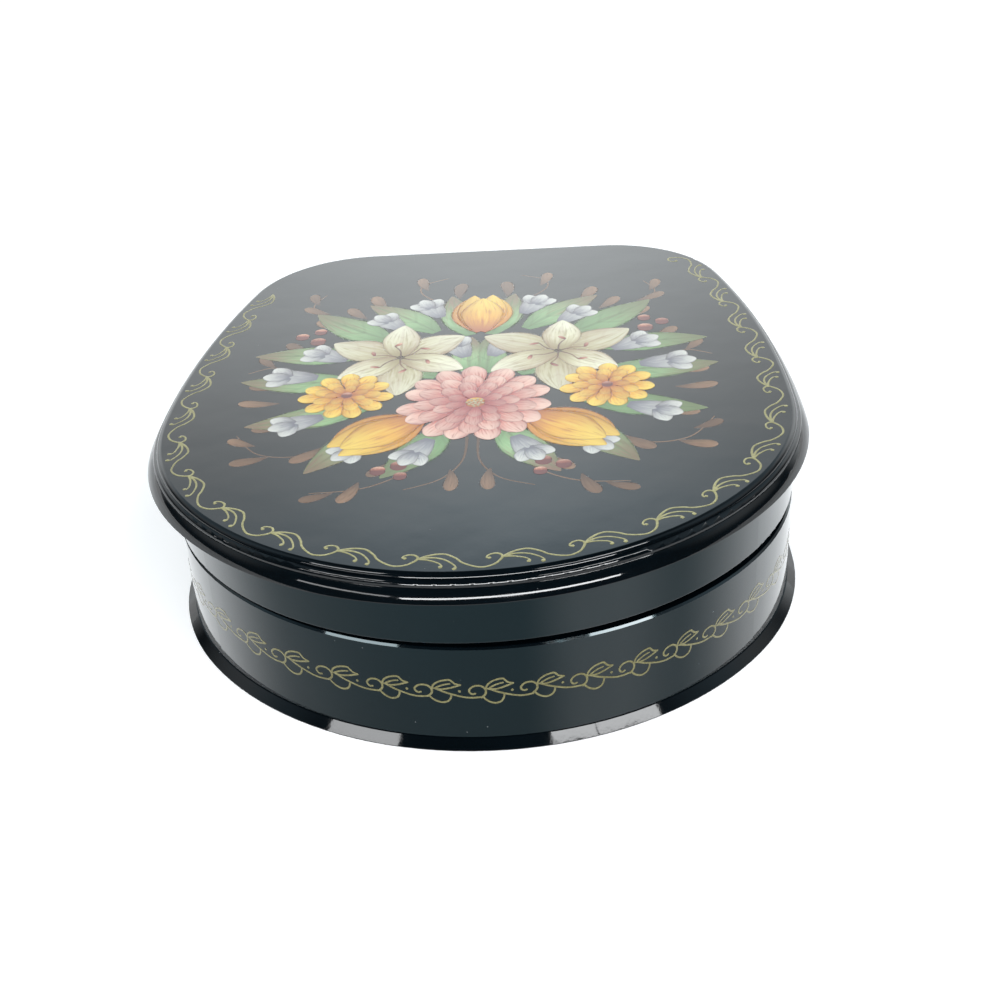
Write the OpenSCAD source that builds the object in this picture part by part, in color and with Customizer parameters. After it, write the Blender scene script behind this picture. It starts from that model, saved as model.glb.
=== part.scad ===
// Lacquered keepsake box with a hinged lid.
// Millimetres, +Z up, +Y to the straight back where the hinge sits, Z = 0 under the base.
// Every wall and moulding is one profile swept round the same plan, and the profile is drawn with
// X as the distance outward from the outer face of the wall and Y as the height.

/* [Plan] */
// Width across the walls
body_w = 114; // [105:1:123]
// Depth of the walls, from the round front to the straight back
body_d = 127; // [119:1:135]
// Radius of each back corner
corner_r = 24; // [19:1:27]
// Radius of the gently bowed sides
side_r = 205; // [190:1:220]
// Distance that the walls sit to the right of the middle of the lid's board
wall_shift = 0.85; // [0:0.05:1]

/* [Heights] */
// Thickness of the base, which shows as a plinth
plinth_h = 1.55; // [1.4:0.05:3]
// Height of the body's wall above the plinth
body_h = 18.4; // [14:0.1:26]
// Least gap between body and lid, at the side where the lid sits lowest
parting_gap = 0.2; // [0.1:0.05:0.5]
// Height of the lid's wall under its moulding
lid_rim_h = 10; // [9:0.2:16]
// Sideways tilt of the lid, which sits a little askew on its hinge
lid_skew = 0.7; // [0:0.1:1]

/* [Walls] */
// Thickness of the walls of body and lid
wall = 4; // [3.4:0.1:5]
// Thickness of the collar inside the body
collar_t = 1.6; // [1.2:0.1:2.4]
// Height that the collar stands above the body's rim
collar_rise = 4; // [2:0.2:6]
// Clearance between the collar and the walls round it
collar_fit = 0.3; // [0.25:0.05:0.5]
// Height of the locating steps on the base and under the lid's board
step_h = 1.6; // [1:0.1:2.4]

/* [Mouldings] */
// Overhang of the plinth beyond the wall
plinth_out = 1.7; // [1:0.1:3]
// Ledge between the wall's foot and the plinth's bevel
plinth_ledge = 0.15; // [0.1:0.05:0.4]
// Height of the upright lip under the plinth's bevel
plinth_lip = 0.2; // [0.15:0.05:0.6]
// Rounding of the plinth's lower edge
plinth_foot_r = 0.1; // [0.05:0.05:0.1]
// Height of the bevel along the body's upper edge
body_bevel_h = 0.3; // [0.2:0.05:0.8]
// Width of the bevel along the body's upper edge
body_bevel_w = 0.35; // [0.2:0.05:0.8]
// Rounding of the lid wall's lower edge
rim_edge_r = 0.4; // [0.2:0.1:0.8]
// Rounding of the collar's upper outer edge
collar_edge_r = 0.6; // [0.2:0.1:1]
// Distance from the wall's face out to the end of the lid's flat face
face_out = 0.2; // [0:0.1:1]
// Radius of the rounded edge of the lid's face
face_r = 1.2; // [0.8:0.1:1.6]
// Height of the groove between the face's edge and the bead
face_groove = 0.12; // [0.1:0.02:0.4]
// Radius of the bead under the face's edge
bead_r = 1.1; // [0.8:0.1:1.5]
// Height of the groove between the bead and the main moulding
bead_groove = 0.49; // [0.3:0.01:0.9]
// Depth of the grooves and of the lip behind the edge above them
groove_in = 0.08; // [0.06:0.01:0.15]
// Radius of the main moulding, which swells down to the lid's lip
swell_r = 5; // [4:0.5:7]
// Height of the upright lip under the main moulding
lip_h = 0.16; // [0.1:0.02:0.4]

/* [Hinge] */
// Length of the hinge's barrel
hinge_len = 40; // [30:1:42]
// Radius of the barrel
knuckle_r = 1.5; // [1.3:0.1:1.8]
// Gap between neighbouring knuckles
knuckle_gap = 0.2; // [0.15:0.05:0.4]
// Radius of the hinge pin
pin_r = 0.5; // [0.4:0.05:0.6]
// Radial running clearance of the pin in its bores
pin_fit = 0.05; // [0.03:0.01:0.08]
// Length of each peened pin end
pin_head_t = 0.4; // [0.3:0.1:0.6]
// Radius of each peened pin end
pin_head_r = 0.9; // [0.8:0.05:1.1]
// Thickness of a leaf
leaf_t = 0.8; // [0.6:0.1:0.9]
// Distance of a leaf's middle plane from the pin, into the wall
leaf_set = 1.1; // [1.1:0.05:1.3]
// Reach of a leaf from the pin
leaf_h = 7; // [6:0.5:8]
// Clearance between barrel and the notch that it lies in
notch_fit = 0.3; // [0.3:0.05:0.5]
// Clearance round the edges of a leaf in its slot
slot_fit = 0.2; // [0.1:0.05:0.3]
// Number of brads in each leaf
nails = 4; // [2:1:6]
// Radius of a brad
nail_r = 0.5; // [0.3:0.05:0.6]
// Radial clearance of a brad in its hole
nail_fit = 0.03; // [0.02:0.01:0.05]
// Distance of the brads from the pin
nail_drop = 5; // [4:0.25:5.5]
// Depth of wall left in front of a brad's point
nail_skin = 0.3; // [0.2:0.1:0.6]

/* [Hidden] */
$fn = 96;

// Colours of the finishes
lacquer = "#1d2429";
vermilion = "#a5301f";
brass = "#b8924a";

// Slope of the normal where each swelling of the lid's edge begins and ends, in degrees above level
face_from = 84;
face_to = 22;
bead_from = 75;
bead_to = 20;
swell_from = 49;
swell_to = 20;
// Heights, from the table up, to the nearest thousandth
function fine(v) = round(1000 * v) / 1000;
body_top = plinth_h + body_h;
parting_mid = fine(parting_gap + body_w / 2 * tan(lid_skew));
rim_z0 = body_top + parting_mid;
rim_z1 = rim_z0 + lid_rim_h;
lip_z = rim_z1 + lip_h;
swell_z = lip_z + fine(swell_r * (sin(swell_from) - sin(swell_to)));
bead_z0 = swell_z + bead_groove;
bead_z1 = bead_z0 + fine(bead_r * (sin(bead_from) - sin(bead_to)));
face_z = bead_z1 + face_groove;
lid_top = face_z + fine(face_r * (sin(face_from) - sin(face_to)));
base_step_z = plinth_h + step_h;
axis_z = body_top + parting_mid / 2;
// Distances outward from the wall's outer face
face_edge = face_out + face_r * (cos(face_to) - cos(face_from));
bead_edge = face_edge + bead_r * (cos(bead_to) - cos(bead_from));
lid_out = bead_edge + swell_r * (cos(swell_to) - cos(swell_from));
liner_out = -wall - collar_fit;
liner_in = liner_out - collar_t;
// The boards are swept rings with a flat core that overlaps them
board_ring = corner_r * 0.6;
board_core = corner_r * 0.45;
// Chords of the core along each arc, few because the ring hides them
core_steps = 4;
// Overlap that keeps a cut clear of the face that it opens
bite = 1;
// Overlap of the shapes that make up the lid's edge
lap = groove_in / 2;

// Directions of the outward normal where one stretch of the plan passes into the next
// Each is the direction of a whole-numbered right triangle, so that the stretches meet exactly
front_to_shoulder = [4, -3] / 5;
shoulder_to_side = [1, 0];
side_to_corner = [24, 7] / 25;
corner_to_back = [0, 1];
wedge_step = 25;
// Turn of each slanting end past its normal, in radians, by which neighbouring stretches overlap
hair = 0.0000001;
// Radii and centres, which follow from the width, the depth and the arcs touching each other
half_w = body_w / 2;
side_c = [
  half_w - side_r,
  body_d / 2 - corner_r - (side_r - corner_r) * side_to_corner.y
];
corner_c = side_c + (side_r - corner_r) * side_to_corner;
shoulder_reach = half_w / front_to_shoulder.x;
shoulder_share = 1 / front_to_shoulder.x - 1;
shoulder_fall = 1 + front_to_shoulder.y;
shoulder_r = (side_c.y + body_d / 2 - shoulder_fall * shoulder_reach) / (1 - shoulder_fall * (1 + shoulder_share));
front_r = shoulder_reach - shoulder_share * shoulder_r;
shoulder_c = side_c + (side_r - shoulder_r) * shoulder_to_side;
front_c = shoulder_c - (front_r - shoulder_r) * front_to_shoulder;
back_flat = 2 * corner_c.x;
// Share of a wall's thickness that a key fills where two stretches of it meet
key_share = 0.4;
// Each arc as its centre, its radius and the normals at its two ends
FRONT = [front_c, front_r, [-front_to_shoulder.x, front_to_shoulder.y], front_to_shoulder];
RIGHT = [
  [shoulder_c, shoulder_r, front_to_shoulder, shoulder_to_side],
  [side_c, side_r, shoulder_to_side, side_to_corner],
  [corner_c, corner_r, side_to_corner, corner_to_back]
];

// The hinge: body and lid have the knuckles in turn
knuckles = 5;
knuckle_pitch = hinge_len / knuckles;
BODY_KNUCKLES = [0, 2, 4];
LID_KNUCKLES = [1, 3];
leaf_near = leaf_set - leaf_t / 2;
leaf_clear = knuckle_r + notch_fit;
nail_pitch = hinge_len / nails;
nail_len = wall - nail_skin;

function heading(v) = atan2(v.y, v.x);

// A normal turned past the end of its stretch, where it slants to the axes
function turned(v, way) = v + hair * way * abs(v.x * v.y) * [-v.y, v.x];

// Points along an arc at a distance outward from it
function arc_points(arc, out) = [
  for (i = [0:core_steps])
    let (a0 = heading(arc[2]), a1 = heading(arc[3]), a = a0 + (a1 - a0) * i / core_steps)
      arc[0] + (arc[1] + out) * [cos(a), sin(a)]
];

// Sweeps a profile along one arc of the plan: a full turn, cut to the wedge between its two normals
// The wedge's reach is a whole multiple of the triangles' longest side, so its corners are whole numbers
module sweep_arc(arc) {
  reach = wedge_step * ceil(2 * (arc[1] + lid_out) / wedge_step);
  translate([arc[0].x, arc[0].y, 0])
    intersection() {
      rotate_extrude()
        translate([arc[1], 0])
          children();
      translate([0, 0, -bite])
        linear_extrude(height = lid_top + 2 * bite)
          polygon([[0, 0], reach * turned(arc[2], -1), reach * turned(arc[3], 1)]);
    }
}

// Sweeps a profile all round the plan
module sweep() {
  sweep_arc(FRONT)
    children();
  for (half = [0, 1])
    mirror([half, 0, 0])
      for (arc = RIGHT)
        sweep_arc(arc)
          children();
  translate([-back_flat / 2, body_d / 2, 0])
    rotate([90, 0, 90])
      linear_extrude(height = back_flat)
        children();
}

// A key inside a wall wherever two stretches of it meet, so that they hold as one piece
module keys(u0, u1, z0, z1) {
  mid = (u0 + u1) / 2;
  r = key_share * (u1 - u0) / 2;
  starts = [for (arc = RIGHT) arc[0] + (arc[1] + mid) * arc[2]];
  back_end = corner_c + (corner_r + mid) * corner_to_back;
  for (half = [0, 1])
    mirror([half, 0, 0])
      for (at = concat(starts, [back_end]))
        translate([at.x, at.y, z0 + r])
          cylinder(r = r, h = z1 - z0 - 2 * r);
}

// The flat middle of a board, reaching under the ring that is swept round it
module core(z0, z1) {
  right = [for (arc = RIGHT) each arc_points(arc, -board_core)];
  left = [for (i = [len(right) - 1:-1:0]) [-right[i].x, right[i].y]];
  translate([0, 0, z0])
    linear_extrude(height = z1 - z0)
      polygon(concat(arc_points(FRONT, -board_core), right, left));
}

// A rectangle between two distances and two heights
module slab(u0, u1, z0, z1) {
  translate([u0, z0])
    square([u1 - u0, z1 - z0]);
}

// The outer quarter of a disc, above its centre or below it
module quarter(u, z, r, up) {
  translate([u, z])
    intersection() {
      circle(r);
      translate([0, up ? 0 : -2 * r])
        square(2 * r);
    }
}

// A rectangle whose outer corner is rounded, the upper one or the lower one
module rounded_slab(u0, u1, z0, z1, r, up) {
  slab(u0, u1 - r, z0, z1);
  slab(u1 - r, u1, up ? z0 : z0 + r, up ? z1 - r : z1);
  quarter(u1 - r, up ? z1 - r : z0 + r, r, up);
}

// A rectangle whose outer side slopes in towards its top
module bevelled_slab(u0, u1, u_top, z0, z1) {
  polygon([[u0, z0], [u1, z0], [u_top, z1], [u0, z1]]);
}

// A swelling of the lid's edge between two heights, from the slope and the point where it begins
module swelling(u, z, r, from, z0) {
  mid = [u - r * cos(from), z - r * sin(from)];
  slab(-board_ring, mid.x, z0, z);
  intersection() {
    translate(mid)
      circle(r);
    slab(mid.x - lap, mid.x + r, z0, z);
  }
}

module lid_edge_profile() {
  swelling(face_out, lid_top, face_r, face_from, face_z);
  slab(-board_ring, face_edge - groove_in, bead_z1 - lap, face_z + lap);
  swelling(face_edge, bead_z1, bead_r, bead_from, bead_z0);
  slab(-board_ring, bead_edge - groove_in, swell_z - lap, bead_z0 + lap);
  swelling(bead_edge, swell_z, swell_r, swell_from, lip_z);
  slab(-board_ring, lid_out - groove_in, rim_z1, lip_z + lap);
}

// Sets the walls, and all that is fixed to them, off the middle of the lid's board
module aside() {
  translate([wall_shift, 0, 0])
    children();
}

// Tilts the lid's own pieces about the middle of the parting
module lid_sit() {
  translate([0, 0, rim_z0])
    rotate([0, -lid_skew, 0])
      translate([0, 0, -rim_z0])
        children();
}

// A block at the back wall, from one depth to another inside its outer face
module back_block(length, near, far, z0, z1) {
  translate([-length / 2, body_d / 2 - far, z0])
    cube([length, far - near, z1 - z0]);
}

// A rod along the hinge axis
module axle(r, x0, x1) {
  translate([x0, body_d / 2, axis_z])
    rotate([0, 90, 0])
      cylinder(r = r, h = x1 - x0);
}

// The channel that the barrel lies in
module hinge_notch() {
  end = hinge_len / 2 + pin_head_t + notch_fit;
  axle(knuckle_r + notch_fit, -end, end);
}

// The slot for a leaf, up into the lid or down into the body
module leaf_slot(up) {
  far_z = axis_z + up * (leaf_h + slot_fit);
  back_block(
    hinge_len + 2 * slot_fit, leaf_near, leaf_near + leaf_t,
    min(axis_z, far_z), max(axis_z, far_z)
  );
}

// The brads of one leaf, or their holes when grown by the clearance
module brads(up, grow, extra) {
  for (i = [0:nails - 1])
    translate([(i - (nails - 1) / 2) * nail_pitch, body_d / 2 - wall - extra, axis_z + up * nail_drop])
      rotate([-90, 0, 0])
        cylinder(r = nail_r + grow, h = nail_len + extra);
}

// One leaf with its knuckles, up for the lid or down for the body
module leaf(up, own) {
  plate_z = axis_z + up * leaf_clear;
  tip_z = axis_z + up * leaf_h;
  difference() {
    union() {
      back_block(hinge_len, leaf_near, leaf_near + leaf_t, min(plate_z, tip_z), max(plate_z, tip_z));
      for (i = own) {
        x0 = -hinge_len / 2 + i * knuckle_pitch + knuckle_gap / 2;
        x1 = x0 + knuckle_pitch - knuckle_gap;
        axle(knuckle_r, x0, x1);
        translate([(x0 + x1) / 2, 0, 0])
          back_block(x1 - x0, leaf_near, leaf_near + leaf_t, min(plate_z, axis_z), max(plate_z, axis_z));
      }
    }
    axle(pin_r + pin_fit, -hinge_len, hinge_len);
    brads(up, nail_fit, bite);
  }
}

module base_board() {
  color(lacquer)
    aside() {
      sweep()
        union() {
          rounded_slab(-board_ring, plinth_out, 0, plinth_lip, plinth_foot_r, false);
          bevelled_slab(-board_ring, plinth_out, plinth_ledge, plinth_lip, plinth_h);
          slab(-board_ring, liner_out, plinth_h, base_step_z);
        }
      core(0, base_step_z);
    }
}

module body_profile() {
  bevel_z = body_top - body_bevel_h;
  slab(-wall, 0, plinth_h, bevel_z);
  bevelled_slab(-wall, 0, -body_bevel_w, bevel_z, body_top);
}

module body_wall() {
  color(lacquer)
    aside()
      difference() {
        union() {
          sweep()
            body_profile();
          keys(-wall, 0, plinth_h, body_top - body_bevel_h);
        }
        hinge_notch();
        leaf_slot(-1);
        brads(-1, nail_fit, bite);
      }
}

module inner_collar() {
  color(vermilion)
    aside() {
      sweep()
        rounded_slab(liner_in, liner_out, base_step_z, body_top + collar_rise, collar_edge_r, true);
      keys(liner_in, liner_out, base_step_z, body_top + collar_rise);
    }
}

module lid_rim() {
  color(lacquer)
    difference() {
      lid_sit()
        aside() {
          sweep()
            rounded_slab(-wall, 0, rim_z0, rim_z1, rim_edge_r, false);
          keys(-wall, 0, rim_z0, rim_z1);
        }
      aside() {
        hinge_notch();
        leaf_slot(1);
        brads(1, nail_fit, bite);
      }
    }
}

module lid_board() {
  color(lacquer)
    lid_sit() {
      sweep()
        lid_edge_profile();
      aside() {
        sweep()
          slab(-board_ring, liner_out, rim_z1 - step_h, lip_z);
        core(rim_z1 - step_h, lid_top);
      }
    }
}

module body_hinge_leaf() {
  color(brass)
    aside()
      leaf(-1, BODY_KNUCKLES);
}

module lid_hinge_leaf() {
  color(brass)
    aside()
      leaf(1, LID_KNUCKLES);
}

module hinge_pin() {
  end = hinge_len / 2;
  color(brass)
    aside() {
      axle(pin_r, -end - pin_head_t, end + pin_head_t);
      axle(pin_head_r, -end - pin_head_t, -end);
      axle(pin_head_r, end, end + pin_head_t);
    }
}

module body_hinge_nails() {
  color(brass)
    aside()
      brads(-1, 0, 0);
}

module lid_hinge_nails() {
  color(brass)
    aside()
      brads(1, 0, 0);
}

base_board();
body_wall();
inner_collar();
lid_rim();
lid_board();
body_hinge_leaf();
lid_hinge_leaf();
hinge_pin();
body_hinge_nails();
lid_hinge_nails();
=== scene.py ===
# %% [markdown]
# # A lacquered keepsake box
# The box is black lacquer over pressed card. Its lid opens on a brass hinge along the straight back,
# and gold lines and a spray of flowers are painted on it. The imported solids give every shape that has
# thickness, so this lesson adds light, finishes and paint to them. Paint is far thinner than a wall,
# but it still has an edge that catches light, so each brush stroke is a small mesh of its own.

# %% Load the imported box
import bpy
import math
from mathutils import Matrix, Quaternion, Vector


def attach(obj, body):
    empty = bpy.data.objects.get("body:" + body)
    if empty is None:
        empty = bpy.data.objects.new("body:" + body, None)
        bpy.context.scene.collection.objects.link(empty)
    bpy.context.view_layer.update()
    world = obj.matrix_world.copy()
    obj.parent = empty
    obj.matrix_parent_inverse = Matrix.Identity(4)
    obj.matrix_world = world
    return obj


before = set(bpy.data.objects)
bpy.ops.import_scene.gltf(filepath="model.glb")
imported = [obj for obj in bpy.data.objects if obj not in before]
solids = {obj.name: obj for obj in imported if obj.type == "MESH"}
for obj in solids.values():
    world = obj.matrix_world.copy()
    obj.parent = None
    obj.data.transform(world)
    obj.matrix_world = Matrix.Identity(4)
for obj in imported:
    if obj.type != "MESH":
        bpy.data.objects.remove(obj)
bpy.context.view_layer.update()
MM = 0.001

# %% [markdown]
# ## The camera
# The picture was taken from a little above the front, slightly to the right and slightly rolled. A
# camera is placed by its distance, height angle and turn round the box. That is easier to tune than
# three coordinates. Its lens follows from how strongly the box narrows towards the back.

# %% Camera
DISTANCE, HEIGHT_ANGLE, TURN, ROLL = 298.990, 31.767, 3.019, -3.278
ASIDE, ABOVE, FOCAL_PIXELS, FRAME_PIXELS, SENSOR = 2.449, 7.057, 1478.03, 1000, 36


def towards(turn, rise):
    """The direction away from the box, by degrees round from the front and up from the floor."""
    a, e = math.radians(turn), math.radians(rise)
    return Vector((math.sin(a) * math.cos(e), -math.cos(a) * math.cos(e), math.sin(e)))


back, roll = towards(TURN, HEIGHT_ANGLE), math.radians(ROLL)
level_right = (-back).cross(Vector((0, 0, 1))).normalized()
level_up = back.cross(level_right)
right = level_right * math.cos(roll) + level_up * math.sin(roll)
above = level_up * math.cos(roll) - level_right * math.sin(roll)
camera = bpy.data.objects.new("camera", bpy.data.cameras.new("camera"))
camera.data.sensor_width = SENSOR
camera.data.lens = SENSOR * FOCAL_PIXELS / FRAME_PIXELS
camera.data.clip_start = 0.01
axes = Matrix((right, above, back)).transposed().to_4x4()
camera.matrix_world = Matrix.Translation((back * DISTANCE + right * ASIDE + above * ABOVE) * MM) @ axes
bpy.context.scene.collection.objects.link(camera)
bpy.context.scene.camera = camera
print("lens %.2f mm, camera at" % camera.data.lens, [round(v, 3) for v in camera.matrix_world.translation])

# %% [markdown]
# ## Shader sums in plain Python
# A finish is a sum: dust times a mask, plus a grain. Wiring Math nodes by hand hides that sum, so one
# small class wraps a socket and lets Python's own signs add the nodes. Its node method makes anything
# else, with the settings first and the sockets after them.


# %% A socket that can be added up
class Wire:
    def __init__(self, tree, socket=None):
        self.tree, self.socket = tree, socket

    def node(self, kind, settings, sockets, out=0):
        """A new node: its type, its settings, what its sockets get, and the output to go on from."""
        made = self.tree.nodes.new("ShaderNode" + kind)
        for name, value in settings.items():
            setattr(made, name, value)
        for name, value in sockets.items():
            if isinstance(value, Wire):
                self.tree.links.new(value.socket, made.inputs[name])
            else:
                made.inputs[name].default_value = value
        return Wire(self.tree, made.outputs[out])

    def maths(self, operation, first, second=0.0):
        return self.node("Math", {"operation": operation}, {0: first, 1: second})

    def __add__(self, other):
        return self.maths("ADD", self, other)

    def __sub__(self, other):
        return self.maths("SUBTRACT", self, other)

    def __rsub__(self, other):
        return self.maths("SUBTRACT", other, self)

    def __mul__(self, other):
        return self.maths("MULTIPLY", self, other)

    def __gt__(self, other):
        return self.maths("GREATER_THAN", self, other)

    def __lt__(self, other):
        return self.maths("LESS_THAN", self, other)

    def __abs__(self):
        return self.maths("ABSOLUTE", self)

    __radd__, __rmul__ = __add__, __mul__

    def fade(self, low, high):
        """From 0 at low to 1 at high, with soft ends."""
        limits = {0: self, 1: low, 2: high, 3: 0.0, 4: 1.0}
        return self.node("MapRange", {"interpolation_type": "SMOOTHSTEP"}, limits)

    def mix(self, first, second):
        """The first colour where this is 0, the second where it is 1."""
        first, second = ((*c, 1) if isinstance(c, tuple) else c for c in (first, second))
        return self.node("Mix", {"data_type": "RGBA"}, {0: self, 6: first, 7: second}, 2)

    def parts(self):
        return [self.node("SeparateXYZ", {}, {0: self}, k) for k in range(3)]

    def noise(self, scale, detail=2.0, rough=0.5):
        sockets = {"Vector": self, "Scale": scale, "Detail": detail, "Roughness": rough}
        return self.node("TexNoise", {}, sockets)

    def stretch(self, x, y, z):
        return self.node("VectorMath", {"operation": "MULTIPLY"}, {0: self, 1: (x, y, z)})


print("a wire can be added, taken away, multiplied, compared, faded and mixed")


# %% An empty finish
def new_finish(name):
    """A material, a wire to start its sums from, and its shader."""
    material = bpy.data.materials.new(name)
    material.use_nodes = True
    tree = material.node_tree
    return material, Wire(tree), tree.nodes["Principled BSDF"]


def join(wire, shader, socket):
    wire.tree.links.new(wire.socket, shader.inputs[socket])


def relief(start, height, depth, shader, facing=None):
    """Bumps of a depth in metres, on the mesh's own facing or on another one in the object's frame."""
    sockets = {"Strength": 1.0, "Distance": depth, "Height": height}
    if facing:
        way = {"vector_type": "NORMAL", "convert_from": "OBJECT", "convert_to": "WORLD"}
        sockets["Normal"] = start.node("VectorTransform", way, {0: facing})
    join(start.node("Bump", {}, sockets), shader, "Normal")


print("a finish is a material, a wire and a shader")

# %% [markdown]
# ## The room
# Gloss shows only what it mirrors, so the room matters as much as the lamps. It is pale and bright low
# down behind the box, and the lid mirrors that as a veil. In front it is dim, so that the mouldings
# stay black there, and at the sides it is a faint grey, as the mouldings are. An even sky would be
# simpler, but it turns the whole box grey, so the room is a sum of fades over the direction.

# %% Room
VEIL_GLOW, SIDE_GLOW, DIM_GLOW, VEIL_MIDDLE = 2.8, 0.6, 0.05, -0.05
LOW_COLOUR, HIGH_COLOUR = (0.93, 0.98, 1.0), (0.66, 0.87, 1.0)

world = bpy.data.worlds.new("room")
world.use_nodes = True
bpy.context.scene.world = world
start, sky = Wire(world.node_tree), world.node_tree.nodes["Background"]
aside, behind, overhead = start.node("TexCoord", {}, {}, "Generated").parts()
high = overhead.fade(0.36, 0.60)
off_middle = (0.29 + 0.27 * high) * abs(aside - VEIL_MIDDLE).fade(0.0, 0.24)
veil = (VEIL_GLOW - 0.6 * high) * (1 - off_middle) * (1.03 - 0.33 * overhead.fade(0.525, 0.575))
sides = abs(aside).fade(0.3, 0.7) * behind.fade(-0.35, 0.1) * overhead.fade(0.2, 0.5)
join(overhead.fade(0.45, 0.62).mix(LOW_COLOUR, HIGH_COLOUR), sky, "Color")
join(DIM_GLOW + behind.fade(0.45, 0.78) * veil + SIDE_GLOW * sides, sky, "Strength")
print("room: veil %.2f, sides %.2f, elsewhere %.2f" % (VEIL_GLOW, SIDE_GLOW, DIM_GLOW))

# %% [markdown]
# ## The floor
# The box stands on a plain pale sheet that curls up far away, so that no horizon shows. More lamps
# would make it white too, but they would bleach the box. So the sheet is lifted to white where it is
# seen: by the eye, in the gloss or through glass. Near the box the lift is small and the box keeps its
# shadow. Far away, where the lamps don't reach, it is full.

# %% Floor
FLOOR_PROFILE = [
    (0.01, 0), (0.5, 0), (1.2, 0), (3.0, 0), (9.0, 0), (10.5, 0.06), (11.5, 0.3), (11.8, 0.6), (12.0, 1.3),
]
SIDES, FLOOR_GAP, SHEET_COLOUR, NEAR_LIFT = 96, 0.00002, (0.9, 0.9, 0.9), 0.27

floor_mesh = bpy.data.meshes.new("floor")
floor_mesh.from_pydata(
    [
        (r * math.cos(2 * math.pi * k / SIDES), r * math.sin(2 * math.pi * k / SIDES), z)
        for r, z in FLOOR_PROFILE
        for k in range(SIDES)
    ],
    [],
    [tuple(range(SIDES))] + [
        (i * SIDES + k, (i + 1) * SIDES + k, (i + 1) * SIDES + (k + 1) % SIDES, i * SIDES + (k + 1) % SIDES)
        for i in range(len(FLOOR_PROFILE) - 1)
        for k in range(SIDES)
    ],
)
floor = bpy.data.objects.new("floor", floor_mesh)
floor.location.z = -FLOOR_GAP
bpy.context.scene.collection.objects.link(floor)
sheet, start, shader = new_finish("pale_floor")
shader.inputs["Base Color"].default_value = (*SHEET_COLOUR, 1)
shader.inputs["Roughness"].default_value = 0.9
shader.inputs["Specular IOR Level"].default_value = 0.1
eye, mirrored, through = (
    start.node("LightPath", {}, {}, "Is %s Ray" % way) for way in ("Camera", "Glossy", "Transmission")
)
px, py, pz = start.node("TexCoord", {}, {}, "Object").parts()
far = (px * px + py * py).fade(0.3, 2.0)
lift = (NEAR_LIFT + (1 - NEAR_LIFT) * far) * (eye + mirrored + through)
join(lift.mix((0.0, 0.0, 0.0), (1.0, 1.0, 1.0)), shader, "Emission Color")
shader.inputs["Emission Strength"].default_value = 1.0
floor_mesh.materials.append(sheet)
print("floor of", len(floor_mesh.polygons), "faces, %.0f m across" % (2 * FLOOR_PROFILE[-1][0]))

# %% [markdown]
# ## Windows
# Each bright line on the mouldings and the plinth mirrors something bright in the room, as a window is.
# Five soft panels stand in front, where those lines put them. Two dimmer ones at the sides are there for
# the floor, so the gloss doesn't show them. A panel is placed by its angles, because the place of a
# mirrored line depends on its direction far more than on its distance.

# %% Soft panels
BOX_MIDDLE, WINDOW_COLOUR = Vector((0, 0, 0.02)), (0.97, 0.985, 1.0)


def panel(name, turn, rise, wide, tall, glow, lean=0.0, mirrored=True, reach=1.6):
    """A soft panel that faces the box, by its angles in degrees from the front and its brightness."""
    away = towards(turn, rise)
    lamp = bpy.data.lights.new(name, "AREA")
    lamp.shape = "RECTANGLE"
    lamp.size = 2 * reach * math.tan(math.radians(wide / 2))
    lamp.size_y = 2 * reach * math.tan(math.radians(tall / 2))
    lamp.energy = glow * math.pi * lamp.size * lamp.size_y
    lamp.color = WINDOW_COLOUR
    holder = bpy.data.objects.new(name, lamp)
    holder.location = away * reach + BOX_MIDDLE
    tilt = Quaternion((0, 0, 1), math.radians(lean))
    holder.rotation_euler = (away.to_track_quat("Z", "Y") @ tilt).to_euler()
    holder.visible_camera = False
    holder.visible_glossy = mirrored
    bpy.context.scene.collection.objects.link(holder)
    print("%s: %.2f by %.2f m, %.1f W" % (name, lamp.size, lamp.size_y, lamp.energy))


panel("left_window", -54, 50.0, 18.6, 9.2, 10.5, lean=23)
panel("right_window", 57, 51.6, 16.5, 9, 14, lean=-25)
panel("right_front_window", 34, 54.2, 11.6, 5, 14, lean=-16)
panel("front_window", 10, 27, 62, 5.4, 27)
panel("far_left_window", -43, 27, 28, 4, 7)
panel("left_wall", -125, 32, 45, 30, 1.25, mirrored=False)
panel("right_wall", 125, 32, 45, 30, 1.25, mirrored=False)

# %% [markdown]
# ## The plan of the box
# Seen from above the box is a shield: a straight back, two tight corners, long flanks, two shoulders
# and a full round front. Each stretch is an arc that runs into the next without a kink, as a maker lays
# it out with compasses. The solids follow these arcs, and gloss and paint need them too, so they are
# written down once, in millimetres and degrees: middle, radius, and where each arc begins and ends.

# %% Plan
FRONT_Y, SHOULDER_X, SIDE_Y, FLANK_X, CORNER_X, CORNER_Y = -4.16, 9.36, -11.18, 148.00, 25.76, 39.50
STRETCHES = (
    (-CORNER_X, CORNER_Y, 24.00, 90.0000, 163.7398),
    (FLANK_X, SIDE_Y, 205.00, 163.7398, 180.0000),
    (-SHOULDER_X, SIDE_Y, 47.64, 180.0000, 216.8699),
    (0.00, FRONT_Y, 59.34, 216.8699, 323.1301),
    (SHOULDER_X, SIDE_Y, 47.64, 323.1301, 360.0000),
    (-FLANK_X, SIDE_Y, 205.00, 360.0000, 376.2602),
    (CORNER_X, CORNER_Y, 24.00, 376.2602, 450.0000),
)
WALL_SHIFT = 0.85
arc_lengths = [math.radians(end - begin) * radius for x, y, radius, begin, end in STRETCHES]
print("plan of %d arcs, %.1f mm round without the back" % (len(STRETCHES), sum(arc_lengths)))

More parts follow.
